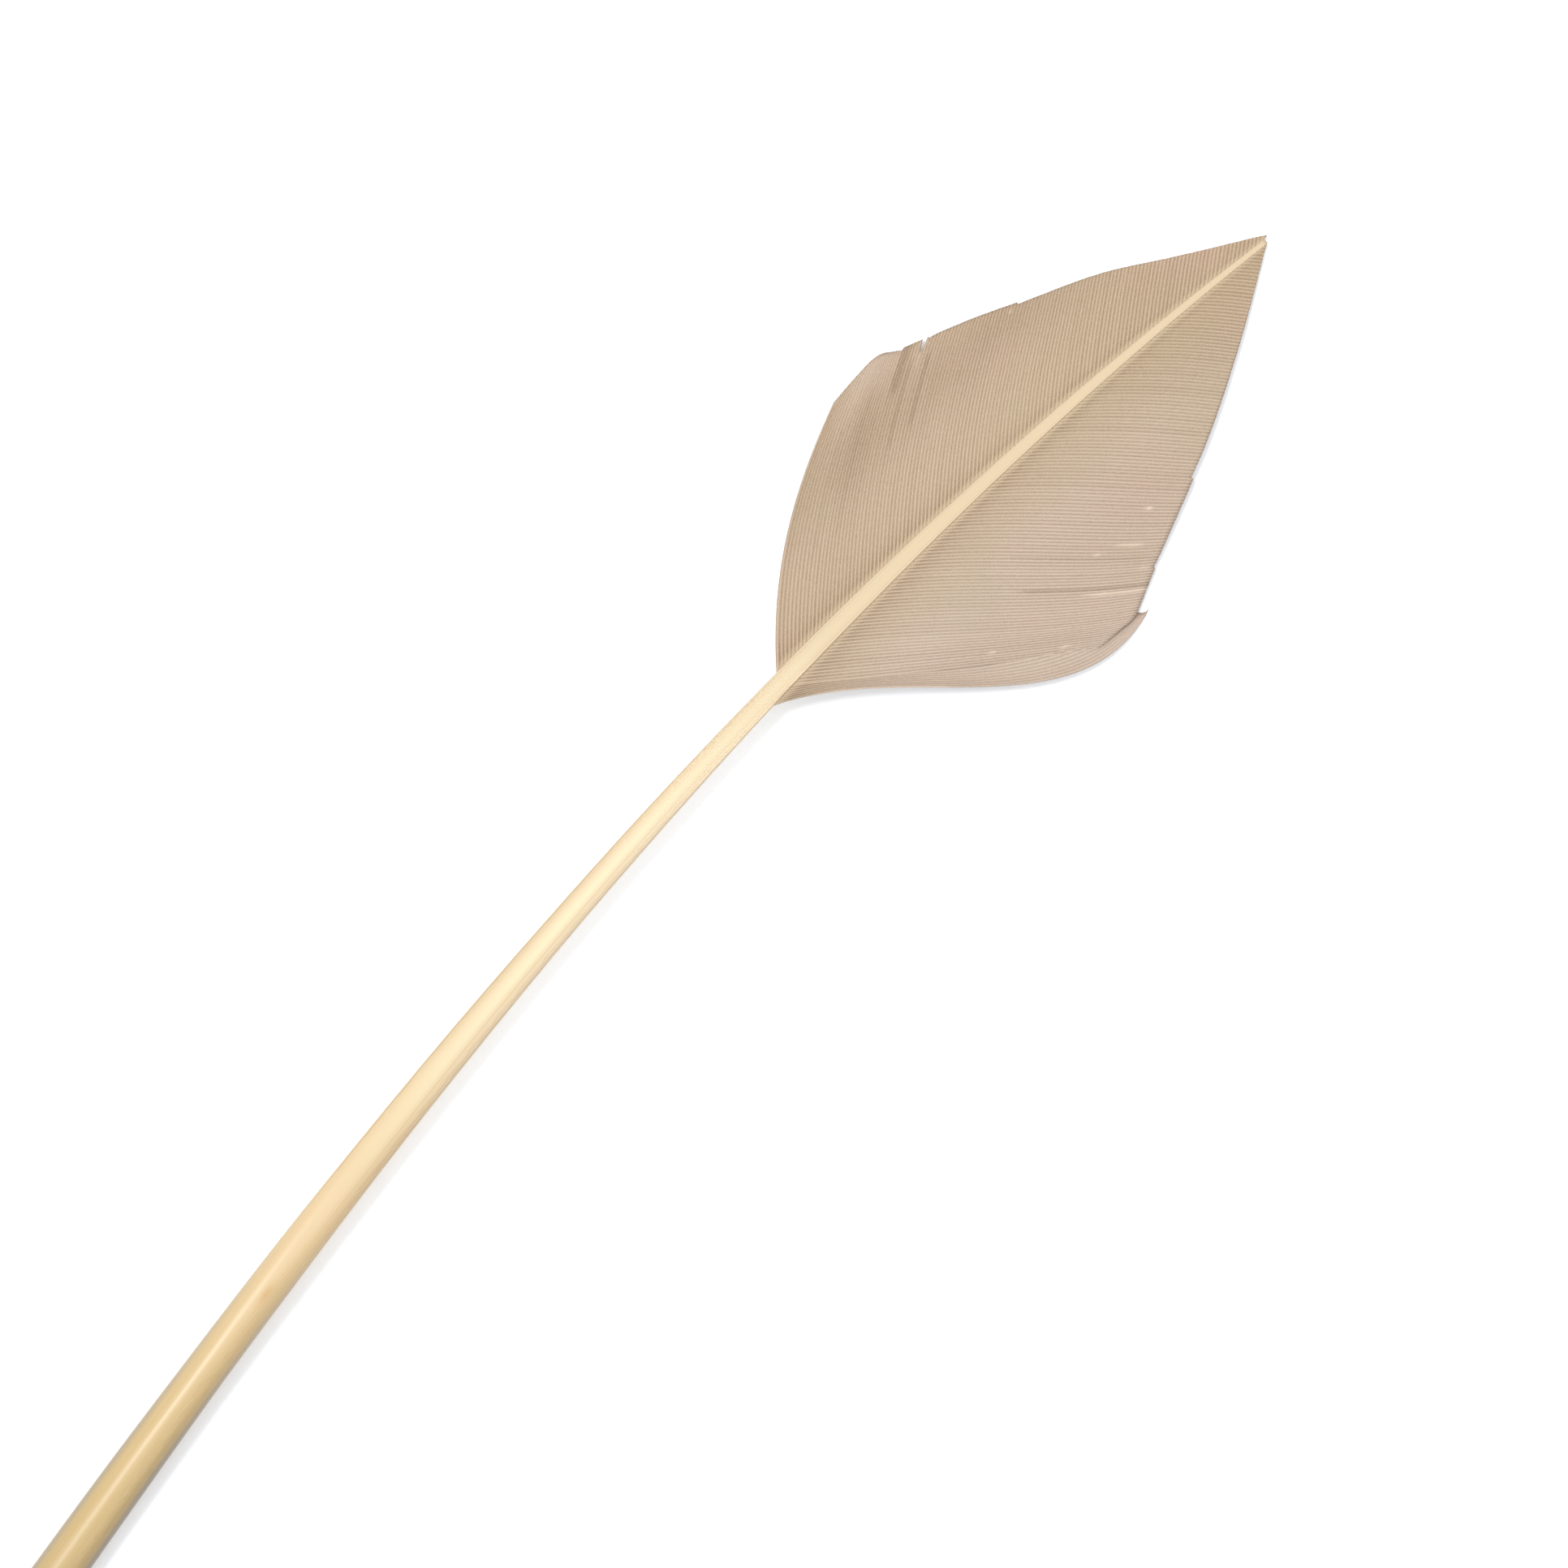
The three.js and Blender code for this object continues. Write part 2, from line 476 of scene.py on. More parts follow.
# %% [markdown]
# Horn is the same stuff as a fingernail. The hollow quill is tan with an olive tinge and a wet gloss,
# the pith behind the stem makes it cream and duller, and fine fibres run along all of it. An image could
# be wrapped round the shaft, but it would blur close up. So a ramp along the shaft holds the main
# colours. Thin tints go over it, each with a mask worked out from where a point is on the shaft: along
# it in millimetres, and from -1 to 1 across it and up it.

# %% Horn: colour along the shaft
HORN_COLOURS = [
    (0, rgb(166, 143, 98)),
    (50, rgb(189, 163, 113)),
    (75, rgb(197, 171, 124)),
    (100, rgb(206, 180, 138)),
    (130, rgb(211, 189, 151)),
    (180, rgb(212, 190, 155)),
    (212, rgb(204, 184, 151)),
    (300, rgb(204, 183, 151)),
]

horn, horn_start = new_finish("horn")
along = read_layer(horn_start, "along")
leftward = read_layer(horn_start, "across")
rightward = 0 - leftward
topward = read_layer(horn_start, "upward")
horn_colour = ramp_along(along, HORN_COLOURS)
print("horn has", len(HORN_COLOURS), "colours along its length")

# %% Horn: fibres and streaks
FIBRE_STRETCH = (0.05, 9, 9)
STREAK_STRETCH = (0.1, 7, 2)
STREAK_SLANT = 0.12
STREAKS_END = (60, 110)
FIBRE_TINT = rgb(218, 197, 162)
STREAK_TINT = rgb(158, 128, 84)


def shaft_noise(stretch, slant, scale, detail):
    """Noise on the horn, stretched along, across and up the shaft, and slanting across it."""
    lengthwise, crosswise, upwise = stretch
    place = {0: along * lengthwise, 1: leftward * crosswise + along * slant, 2: topward * upwise}
    place = along.node("ShaderNodeCombineXYZ", {}, place)
    return along.node("ShaderNodeTexNoise", {}, {"Vector": place, "Scale": scale, "Detail": detail})


fibres = shaft_noise(FIBRE_STRETCH, 0, scale=1.6, detail=4.0)
streaks = shaft_noise(STREAK_STRETCH, STREAK_SLANT, scale=5.0, detail=2.0)
streaked = (1 - along.step(*STREAKS_END)) * rightward.step(-0.1, 0.4)
fibre_tints = [
    (fibres.step(0.35, 0.7) * 0.1, FIBRE_TINT),
    (streaks.step(0.42, 0.7) * streaked * 0.25, STREAK_TINT),
]
horn_colour = lay_tints(horn_colour, fibre_tints)
print("streaks fade out from", STREAKS_END[0], "to", STREAKS_END[1], "mm")

# %% Horn: painted light and shade on the flat top inside the vane
LIPS_BEGIN = (185, 212)
LIP_LIGHT_AT = 0.87
RIGHT_FLANK_LIGHT_TINT = rgb(232, 212, 180)
LIP_HIGHLIGHT_TINT = rgb(238, 220, 190)
LIP_GROOVE_SHADE_TINT = rgb(172, 148, 110)

edgeward = leftward.math("ABSOLUTE", leftward)
in_vane = along.step(*LIPS_BEGIN) * topward.step(0.0, 0.2)
flank = edgeward.step(0.9, 1.0) * rightward.step(0.0, 0.1)
# Painted light and shade: the right flank is lightened against its shade, the lips get a painted
# highlight, and the grooves inside them get painted shade.
painted_top_tints = [
    (in_vane * flank * 0.7, RIGHT_FLANK_LIGHT_TINT),
    (in_vane * edgeward.bell(LIP_LIGHT_AT, 0.08) * 0.8, LIP_HIGHLIGHT_TINT),
    (in_vane * edgeward.bell(LIP_GROOVE_AT, 0.03) * 0.3, LIP_GROOVE_SHADE_TINT),
]
horn_colour = lay_tints(horn_colour, painted_top_tints)
print("lips are pale from", LIPS_BEGIN[1], "mm on")

# %% Horn: painted shade on the quill's sides
QUILL_FADES = (55, 110)
QUILL_SIDE_SHADE_TINT = rgb(112, 92, 58)
LEFT_EDGE_SHADE_TINT = rgb(126, 108, 76)
RIGHT_EDGE_SHADE_TINT = rgb(88, 74, 50)

quill = 1 - along.step(*QUILL_FADES)
# Painted shade: the right half is darker as if turned from the lamp. Both edges are darker where the
# round quill turns away from the light, and partly also because thicker horn is seen edge-on there.
quill_shade_tints = [
    (quill * rightward.step(0.3, 1.0) * 0.5, QUILL_SIDE_SHADE_TINT),
    (quill * leftward.step(0.6, 1.0) * 0.75, LEFT_EDGE_SHADE_TINT),
    (quill * rightward.step(0.74, 1.0) * 0.75, RIGHT_EDGE_SHADE_TINT),
]
horn_colour = lay_tints(horn_colour, quill_shade_tints)
print("the quill's colour ends at", QUILL_FADES[1], "mm")

# %% Horn: painted light and shade on the stem
STEM_PAINT_BEGINS = (105, 150)
STEM_PAINT_ENDS = (196, 212)
CREST_AT = 164
CREST_LENGTH = 40
STEM_RIGHT_LIGHT_TINT = rgb(240, 222, 191)
STEM_LEFT_SHADE_TINT = rgb(190, 166, 130)
CREST_HIGHLIGHT_TINT = rgb(224, 213, 178)

stem_painted = along.step(*STEM_PAINT_BEGINS) * (1 - along.step(*STEM_PAINT_ENDS))
crest = leftward.bell(0.0, 0.4) * along.bell(CREST_AT, CREST_LENGTH) * topward.step(0.3, 0.8)
# Painted light and shade: the right flank is lightened against its shade, the left flank is darkened
# against the lamp, and a painted highlight runs along the crest.
stem_light_tints = [
    (stem_painted * rightward.bell(0.74, 0.25) * 0.85, STEM_RIGHT_LIGHT_TINT),
    (stem_painted * leftward.bell(0.8, 0.25) * 0.3, STEM_LEFT_SHADE_TINT),
    (crest * 0.85, CREST_HIGHLIGHT_TINT),
]
horn_colour = lay_tints(horn_colour, stem_light_tints)
print("the crest is palest at", CREST_AT, "mm")

# %% [markdown]
# The scars in the points get a darker tint. Beside them are finer lines, too fine for points: torn ones
# along the bare stem, and a set of even ones on the right half of quill and stem. Noise along the shaft
# lets these finer lines wander a little, so that they look grown and not ruled.

# %% Horn: scars and fine lines
BARE_BEGINS = (92, 125)
BARE_ENDS = (200, 210)
LINED_BEGINS = (50, 85)
LINED_ENDS = (140, 190)
WANDER_STRETCH = (0.12, 0, 0)
WANDER = 0.12
TORN_LINES = [-0.94, -0.78, -0.6, -0.44, 0.92]
TORN_LINE_WIDTH = 0.022
FINE_LINE_PITCH = 0.1396
SCAR_TINT = rgb(160, 122, 84)
TORN_TINT = rgb(172, 138, 96)
FINE_TINT = rgb(182, 150, 104)

wander = (shaft_noise(WANDER_STRETCH, 0, scale=1.0, detail=3.0) - 0.5) * WANDER
wandering = leftward + wander
upper_side = topward.step(0.05, 0.3)
bare = along.step(*BARE_BEGINS) * (1 - along.step(*BARE_ENDS)) * upper_side
lined = along.step(*LINED_BEGINS) * (1 - along.step(*LINED_ENDS)) * rightward.step(0.05, 0.45)
wave = wandering * (2 * math.pi / FINE_LINE_PITCH)
fine_lines = wave.math("SINE", wave) * 0.5 + 0.5
line_tints = [(read_layer(horn_start, "scar") * 0.45, SCAR_TINT)]
line_tints += [(wandering.bell(place, TORN_LINE_WIDTH) * bare * 0.4, TORN_TINT) for place in TORN_LINES]
line_tints += [(fine_lines * lined * upper_side * 0.3, FINE_TINT)]
horn_colour = lay_tints(horn_colour, line_tints)
print("the bare stem has", len(TORN_LINES), "torn lines")

# %% Horn: a brown spot, and painted shade in the hollow
SPOT_AT = 89.5
SPOT_LENGTH = 1.6
SPOT_ACROSS = -0.15
SPOT_WIDTH = 0.2
SPOT_TINT = rgb(188, 142, 78)
HOLLOW_SHADE_TINT = rgb(120, 98, 66)

spot = along.bell(SPOT_AT, SPOT_LENGTH) * leftward.bell(SPOT_ACROSS, SPOT_WIDTH) * topward.step(0.3, 0.6)
# The inside of the quill's open end is darkened as painted shade.
spot_tints = [(spot * 0.45, SPOT_TINT), (read_layer(horn_start, "inside") * 0.6, HOLLOW_SHADE_TINT)]
horn_colour = lay_tints(horn_colour, spot_tints)
print("the spot is", SPOT_AT, "mm from the quill's end")

# %% [markdown]
# Just below the vane, dried skin leaves a pale grain on the stem. One noise gives both its dots and the
# gaps between them. The gloss changes along the shaft too: the quill has a thin clear coat, and the stem
# above it is duller. That goes into the roughness and the coat, and fibres and dots into the relief.

# %% Horn: dried skin below the vane
SKIN_STRETCH = (3.2, 5, 3)
SKIN_BEGINS = (158, 196)
SKIN_ENDS = (203, 214)
SKIN_DOT_TINT = rgb(240, 228, 196)
SKIN_GAP_TINT = rgb(188, 156, 110)

skin = shaft_noise(SKIN_STRETCH, 0, scale=2.0, detail=1.0)
skin_area = along.step(*SKIN_BEGINS) * (1 - along.step(*SKIN_ENDS)) * topward.step(0.2, 0.6)
skin_dots = skin.step(0.5, 0.64) * skin_area
skin_gaps = (1 - skin.step(0.32, 0.5)) * skin_area
skin_tints = [(skin_dots * 0.4, SKIN_DOT_TINT), (skin_gaps * 0.25, SKIN_GAP_TINT)]
horn_colour = lay_tints(horn_colour, skin_tints)
print("dried skin from", SKIN_BEGINS[0], "to", SKIN_ENDS[1], "mm")

# %% Horn: gloss and grain
DULL_BEGINS = (70, 120)
HORN_GRAIN = 0.25
HORN_IOR = 1.54
QUILL_COAT = 0.12
COAT_ROUGHNESS = 0.16

dullness = along.step(*DULL_BEGINS)
roughness = 0.3 + dullness * 0.28 + fibres * 0.06
grain = grain_from(fibres * (0.15 + dullness * 0.35) + skin_dots * 0.4, HORN_GRAIN)
finish_with(horn, {"Base Color": horn_colour, "Roughness": roughness, "Normal": grain, "IOR": HORN_IOR})
finish_with(horn, {"Coat Weight": quill * QUILL_COAT, "Coat Roughness": COAT_ROUGHNESS})
shaft.data.materials.append(horn)
print("horn is on", shaft.name, "with", len(horn.node_tree.nodes), "nodes")

# %% [markdown]
# A vane is a web of barbs. Each barb is a stiff rib with two rows of fine hooks that hold on to its
# neighbours, so the web is closed but ribbed. A sheet with a bump map would look flat from the side
# and would have a clean edge. Here each barb is its own closed strip: it leaves the shaft at one
# angle, bends to another at the trimmed edge, and laps a little over the strips beside it.

# %% Guide barbs
# Each row: root along the shaft, angle at the root, end point, angle at the end.
LEFT_GUIDES = [
    [206, 44, (241, 31.8, 0.5), 17],
    [210, 41.3, (245.6, 31.85, 0.24), 18],
    [214, 40, (249.9, 31.5, 0.3), 19.5],
    [222, 39.5, (253.3, 29.4, 0.7), 22],
    [237, 39, (262.5, 24.8, 1.5), 25],
    [252, 38.5, (271.5, 19.7, 1.9), 28],
    [267, 36.5, (280.5, 14.7, 1.8), 31],
    [282, 34, (289.3, 8.4, 1.3), 30],
    [297.4, 32, (298.9, 1.76, 0.8), 31],
    [299.4, 31, (300.1, 0.88, 0.75), 31],
]
RIGHT_GUIDES = [
    [206.2, -43, (239.2, -21.0, 1.5), -40],
    [210.8, -43, (242.8, -21.4, 1.2), -40],
    [215.5, -43, (246.3, -21.7, 0.85), -39],
    [225, -43.5, (251.6, -19.8, 1.0), -41],
    [235, -44, (257.3, -17.7, 1.4), -45],
    [250, -45, (267.3, -14.5, 1.9), -51],
    [266, -46, (278, -10.4, 1.8), -55],
    [282, -49, (288.2, -5.9, 1.3), -55.5],
    [297.4, -51, (298.2, -1.0, 0.8), -54],
    [298.9, -52, (299.15, -0.55, 0.75), -54],
]
LOCK_GUIDES = [
    [202.5, -31, (247.6, -22.8, 0.22), 9],
    [204.5, -36, (247.3, -22.3, 0.25), -2],
    [206.4, -41.5, (246.9, -21.75, 0.3), -14],
]
print(len(LEFT_GUIDES), "guide barbs on the left,", len(RIGHT_GUIDES) + len(LOCK_GUIDES), "on the right")

# %% Smooth values between the guides
def through_guides(rows, share):
    """Smooth values between rows of numbers, at shares from 0 to 1 of the way through them."""
    rows = np.asarray(rows, float)
    padded = np.vstack([2 * rows[0] - rows[1], rows, 2 * rows[-1] - rows[-2]])
    place = share * (len(rows) - 1)
    first = np.clip(place.astype(int), 0, len(rows) - 2)
    before, start, end, after = (padded[first + step] for step in range(4))
    controls = [start, start + (end - before) / 6, end - (after - start) / 6, end]
    return cubic(controls, place - first)


guide_roots = [[root] for root, root_angle, end, end_angle in LEFT_GUIDES]
middle_root = through_guides(guide_roots, np.array([0.5])).item()
print("half way through the left guides a root is at", round(middle_root, 1), "mm")

# %% The line of any barb
SHAFT_GAP = 0.3
GAP_CLOSES_OVER = 20
ROOT_HEIGHT_SHARE = 0.28
BARB_PULL = 0.36
GUIDE_STEPS = 4001


def heading(degrees):
    angle = np.radians(degrees)
    return np.stack([np.cos(angle), np.sin(angle), np.zeros_like(angle)], -1)


def barb_controls(guides, side, root_x):
    """The four control points of the barbs whose roots are at distances root_x."""
    table = [[root, root_angle, *end, end_angle] for root, root_angle, end, end_angle in guides]
    shares = np.linspace(0, 1, GUIDE_STEPS)
    roots = through_guides(table, shares)[:, 0]
    pitch = shares[1] / (roots[1] - roots[0]), shares[1] / (roots[-1] - roots[-2])
    share = np.interp(root_x, roots, shares)
    share += np.minimum(root_x - roots[0], 0) * pitch[0] + np.maximum(root_x - roots[-1], 0) * pitch[1]
    values = through_guides(table, share)
    root, left = shaft_at(root_x)
    gap = SHAFT_GAP * smooth(SHAFT_LENGTH - root_x, 0, GAP_CLOSES_OVER)
    root = root + left * side * (shaft_width(root_x) / 2 + gap)[..., None]
    root[..., 2] += ROOT_HEIGHT_SHARE * shaft_height(root_x)
    end = values[..., 2:5]
    pull = BARB_PULL * np.linalg.norm(end - root, axis=-1, keepdims=True)
    leave = root + heading(values[..., 1]) * pull
    arrive = end - heading(values[..., 5]) * pull
    return root, leave, arrive, end


middle_barb = np.array([240.0])
for side, guides in ((1, LEFT_GUIDES), (-1, RIGHT_GUIDES)):
    root, leave, arrive, end = barb_controls(guides, side, middle_barb)
    print("a barb from", root[0].round(1), "to", end[0].round(1))

# %% [markdown]
# Handling and trimming leave their marks on a web. Barbs unhook and part, one lock slides over the
# next, the scissors step, and a few barbs kink or wear smooth. Dark streaks are painted shade: the
# shadow of a lifted lock and the shade along fine splits. Each mark is one row of a short list that
# gives its place as the root of its barb on the shaft and as a share of the barb's reach.

# %% Marks on the left web
# Splits: root, gap at the edge, reach where it opens, lift, side on top, distance it fades over.
LEFT_SPLITS = [
    (222.0, -0.1, 0.72, 0.22, -1, 3.2),
    (227.4, 0.3, 0.94, 0.0, 1, 2.4),
    (217.4, 0.0, 0.2, 0.03, -1, 1.6),
    (225.2, 0.0, 0.2, 0.06, -1, 1.6),
    (229.6, 0.0, 0.3, 0.05, -1, 1.6),
]
# Trims: root, length lost, distances over which that fades before and after the root.
LEFT_TRIMS = [
    (221.9, 0.45, 2.2, 0.01),
    (227.8, 0.35, 0.01, 0.8),
    (247.7, 0.35, 0.01, 6.0),
    (250.0, -0.25, 25.0, 30.0),
]
# Broken barbs: root and length lost.
LEFT_BROKEN = [(227.1, 1.8)]
# Streaks: root, half width, reach from and to, and strength, pale above 0 and dark below it.
# The dark streaks are painted shade: the shadow that the lifted lock casts beside the split at 222 mm,
# and the shade along fine splits.
LEFT_STREAKS = [
    (223.2, 1.6, 0.72, 1.1, -0.6),
    (225.4, 0.4, 0.45, 0.95, -0.4),
    (229.4, 0.4, 0.5, 0.95, -0.5),
    (217.2, 0.4, 0.25, 0.9, -0.5),
    (212.0, 0.5, 0.2, 0.8, -0.4),
    (227.0, 0.4, 0.82, 0.97, 0.35),
    (233.0, 0.5, 0.3, 0.8, -0.15),
    (206.2, 0.3, 0.02, 1.1, 0.25),
]
# Flecks: root, reach, half length and strength.
LEFT_FLECKS = [(246.5, 0.965, 0.6, 0.4), (206.6, 0.97, 0.5, 0.6)]
# Worn places: root, half width, reach from which it shows, and strength.
LEFT_WORN = [(215.5, 6.0, 0.76, 0.75)]
print(len(LEFT_SPLITS), "splits on the left web")

# %% Marks on the right web
RIGHT_SPLITS = [
    (223.4, 0.0, 0.4, 0.1, 1, 2.0),
    (231.2, 0.0, 0.25, 0.07, 1, 1.6),
    (239.0, 0.0, 0.4, 0.05, 1, 1.6),
    (259.0, 0.0, 0.4, 0.05, -1, 1.6),
]
RIGHT_TRIMS = [
    (249.0, 0.4, 0.01, 5.0),
    (228.0, 0.3, 0.01, 3.0),
    (235.0, -0.35, 25.0, 30.0),
]
# The dark streaks are painted shade along splits in the web.
RIGHT_STREAKS = [
    (222.3, 0.6, 0.72, 1.1, 0.6),
    (223.8, 0.35, 0.45, 1.1, -0.5),
    (231.2, 0.3, 0.3, 1.0, -0.3),
    (234.1, 0.35, 0.74, 0.95, 0.6),
    (214.0, 0.4, 0.2, 0.6, 0.2),
]
RIGHT_FLECKS = [
    (241.9, 0.863, 0.7, 0.7),
    (232.1, 0.737, 0.5, 0.75),
    (228.3, 0.963, 0.6, 0.65),
    (209.4, 0.6, 0.6, 0.75),
    (208.2, 0.863, 0.9, 0.65),
    (219.0, 0.4, 0.5, 0.35),
]
RIGHT_WORN = [(209.0, 5.0, 0.86, 0.4)]
LOCK_TRIMS = [(202.5, -0.9, 0.01, 0.9)]
# The dark streak is the painted shadow of the web that lies over the lock.
LOCK_STREAKS = [(205.0, 1.3, 0.76, 1.1, -0.5), (202.5, 0.3, 0.03, 0.45, 0.45)]
LOCK_WORN = [(203.5, 4.0, 0.76, 1.0)]
print(len(RIGHT_FLECKS), "flecks on the right web")

# %% Parted and trimmed barbs
LIFT_POWER = 0.7


def part_locks(splits, root_x, reach):
    """How far each barb is pushed towards the tip, and lifted, by the splits in its web."""
    push = np.zeros(reach.shape)
    lift = np.zeros(reach.shape)
    for split_x, gap, opens, rise, top_side, fade in splits:
        offset = (root_x - split_x)[:, None]
        nearness = np.exp(-np.abs(offset) / fade)
        opened = smooth(reach, opens, 1.0)
        push += np.sign(offset) * gap / 2 * nearness * opened
        lift += rise * nearness * opened**LIFT_POWER * (np.sign(offset) == top_side)
    return push, lift


def trimmed(trims, root_x):
    """The length that each barb lost to the scissors."""
    lost = np.zeros(root_x.shape)
    for trim_x, length, before, after in trims:
        offset = root_x - trim_x
        lost += length * np.exp(np.minimum(offset, 0) / before - np.maximum(offset, 0) / after)
    return lost


step_root = np.array([LEFT_TRIMS[1][0]])
print("the step in the left edge is cut back by", trimmed(LEFT_TRIMS, step_root).round(2).item(), "mm")

# %% Marked and worn barbs
STREAK_FADES_IN = 0.12
STREAK_FADES_OUT = 0.06
WEAR_FADES_IN = 0.22


def marked(streaks, flecks, root_x, reach, length):
    """How pale, above 0, or dark, below 0, the barbs are at each step."""
    mark = np.zeros(reach.shape)
    for streak_x, width, begins, ends, strength in streaks:
        shown = smooth(reach, begins, begins + STREAK_FADES_IN)
        shown = shown * (1 - smooth(reach, ends - STREAK_FADES_OUT, ends))
        mark += strength * bell(root_x, streak_x, width)[:, None] * shown
    for fleck_x, fleck_reach, half_length, strength in flecks:
        barb = np.argmin(np.abs(root_x - fleck_x))
        from_fleck = (reach[barb] - fleck_reach) * length[barb]
        mark[barb] += strength * bell(from_fleck, 0, half_length)
    return np.clip(mark, -1, 1)


def worn_smooth(worn_places, root_x, reach):
    """Where the ridges of the barbs are worn away, from 0 to 1."""
    worn = np.zeros(reach.shape)
    for place, width, begins, strength in worn_places:
        shown = smooth(reach, begins, begins + WEAR_FADES_IN)
        worn += strength * bell(root_x, place, width)[:, None] * shown
    return np.clip(worn, 0, 1)


corner_wear = worn_smooth(LEFT_WORN, np.array([LEFT_WORN[0][0]]), np.ones((1, 1)))
print("the left corner is worn by", corner_wear.round(2).item())

# %% [markdown]
# Across its width a barb is a low rib, sharp and tall where it leaves the shaft and flatter further out.
# A row of points across the strip is moved up into that shape. Then the whole web gets its splits, lifts
# and gentle waves. Each point also keeps what its material has to know, such as how far it is from the
# shaft. All the strips of a web go into one mesh, because hundreds of objects are slow to work with.

# %% The section of a barb
# Places across in half pitches, and heights in crests: a low rib in the web, a sharper one at its root.
SECTION_TOP = [-1.15, -0.72, -0.42, -0.2, 0, 0.2, 0.42, 0.72, 1.15]
SHELF_RISE = [-0.35, 0.0, 0.35, 0.75, 1, 0.75, 0.35, 0.0, -0.35]
TOOTH_RISE = [-1.0, -0.35, 0.3, 0.8, 1, 0.8, 0.3, -0.35, -1.0]
SECTION_BELOW = [0.7, 0, -0.7]
BELOW_RISE = [-0.3, -0.8, -0.3]

section_across = np.array(SECTION_TOP + SECTION_BELOW)
section_top = np.arange(section_across.size) < len(SECTION_TOP)
shelf_rise = np.array(SHELF_RISE + BELOW_RISE)
tooth_rise = np.array(TOOTH_RISE + BELOW_RISE)
print("a barb has", section_across.size, "points around")

# %% Barbs side by side
BARB_STEPS = 50
STEP_POWER = 1.15
ROOT_INSET = 0.9
INSET_SHARE = 0.3
MOST_LOST_SHARE = 0.5
DROOP_POWER = 1.5
DROOP_ENDS = 1.02
PLACE_CHANCE = 0.012
LENGTH_CHANCE = 0.02


def lay_barbs(side, guides, pitch, trims, broken, seed):
    """Strips a pitch apart, from the first guide barb to the last."""
    chance = np.random.default_rng(seed)
    count = round((guides[-1][0] - guides[0][0]) / pitch) + 1
    root_x = np.linspace(guides[0][0], guides[-1][0], count) + chance.normal(0, PLACE_CHANCE, count)
    strips_x = root_x[:, None] + section_across * pitch / 2
    controls = barb_controls(guides, side, strips_x)
    length = np.linalg.norm(controls[3] - controls[0], axis=-1).mean(1)[:, None]
    inset = np.minimum(ROOT_INSET, INSET_SHARE * length) / length
    uneven = np.abs(chance.normal(0, LENGTH_CHANCE, count))[:, None]
    lost = trimmed(trims, strips_x) + uneven
    for broken_x, broken_length in broken:
        lost[np.argmin(np.abs(root_x - broken_x))] += broken_length
    lost = np.minimum(lost / length, MOST_LOST_SHARE)
    steps = np.linspace(0, 1, BARB_STEPS)[:, None] ** STEP_POWER
    reach = steps * (1 - lost + inset)[:, None] - inset[:, None]
    points = cubic([control[:, None] for control in controls], reach)
    droop = np.clip(reach, 0, DROOP_ENDS) ** DROOP_POWER
    points[..., 2] = lerp(controls[0][:, None, :, 2], controls[3][:, None, :, 2], droop)
    print(count, "barbs, the longest", length.max().round(1), "mm")
    barbs = {"chance": chance, "root_x": root_x, "length": length, "points": points}
    barbs["reach"] = reach.mean(-1)
    return barbs


print("a barb has", BARB_STEPS, "steps from its root to its end")

# %% Ribs, splits and waves
CREST_AT_ROOT = 0.2
CREST_AT_EDGE = 0.11
CREST_CHANCE = 0.08
CREST_BEGINS = (-0.3, 0.7)
CREST_WORN_SHARE = 0.85
TEETH_SHARE = 0.055
THICK_AT_ROOT = 0.36
THICK_AT_EDGE = 0.22
THICK_ABOVE = 0.1
THICK_BELOW = 0.9
FLOOR_CLEARANCE = 0.02
WAVE_BEGINS = (0.05, 0.7)
# Waves along the web: height, length and start of each.
WAVES = [(0.5, 2.1, 0), (0.8, 3.7, 1), (0.6, 7.3, 0)]


def rib_heights(barbs, run, worn):
    """How far each point of the sections stands above the middle of its strip."""
    teeth = np.exp(-run / TEETH_SHARE)
    uneven = barbs["chance"].uniform(1 - CREST_CHANCE, 1 + CREST_CHANCE, barbs["root_x"].size)
    crest = lerp(CREST_AT_EDGE, CREST_AT_ROOT, teeth) * uneven[:, None]
    crest *= smooth(barbs["from_root"], *CREST_BEGINS) * (1 - CREST_WORN_SHARE * worn)
    rise = lerp(shelf_rise, tooth_rise, teeth[..., None]) * crest[..., None]
    thick = lerp(THICK_AT_ROOT, THICK_AT_EDGE, run)
    return rise + np.where(section_top, THICK_ABOVE, -THICK_BELOW) * thick[..., None]


def shape_barbs(barbs, splits, worn_places, wave):
    """Gives flat strips their ribs, and parts, lifts and waves the web."""
    root_x, points = barbs["root_x"], barbs["points"]
    run = np.clip(barbs["reach"], 0, 1)
    worn = worn_smooth(worn_places, root_x, run)
    barbs.update(run=run, worn=worn, from_root=barbs["reach"] * barbs["length"])
    to_tip = points[:, :, len(SECTION_TOP) - 1] - points[:, :, 0]
    to_tip[..., 2] = 0
    to_tip /= np.maximum(np.linalg.norm(to_tip, axis=-1, keepdims=True), 1e-6)
    push, lift = part_locks(splits, root_x, run)
    points += (to_tip * push[..., None])[:, :, None]
    waves = sum(height * np.sin(root_x / length + start) for height, length, start in WAVES)
    lift = lift + wave * waves[:, None] * smooth(run, *WAVE_BEGINS)
    points[..., 2] += lift[..., None] + rib_heights(barbs, run, worn)
    points[..., 2] = np.maximum(points[..., 2], FLOOR_CLEARANCE)


print("ribs are", CREST_AT_ROOT, "mm high at the shaft and", CREST_AT_EDGE, "mm further out")

# %% What each point tells its material
RIDGE_SHADE = np.array([0, 0.12, 0.42, 0.78, 1, 0.78, 0.42, 0.12, 0, 0.4, 0.4, 0.4])


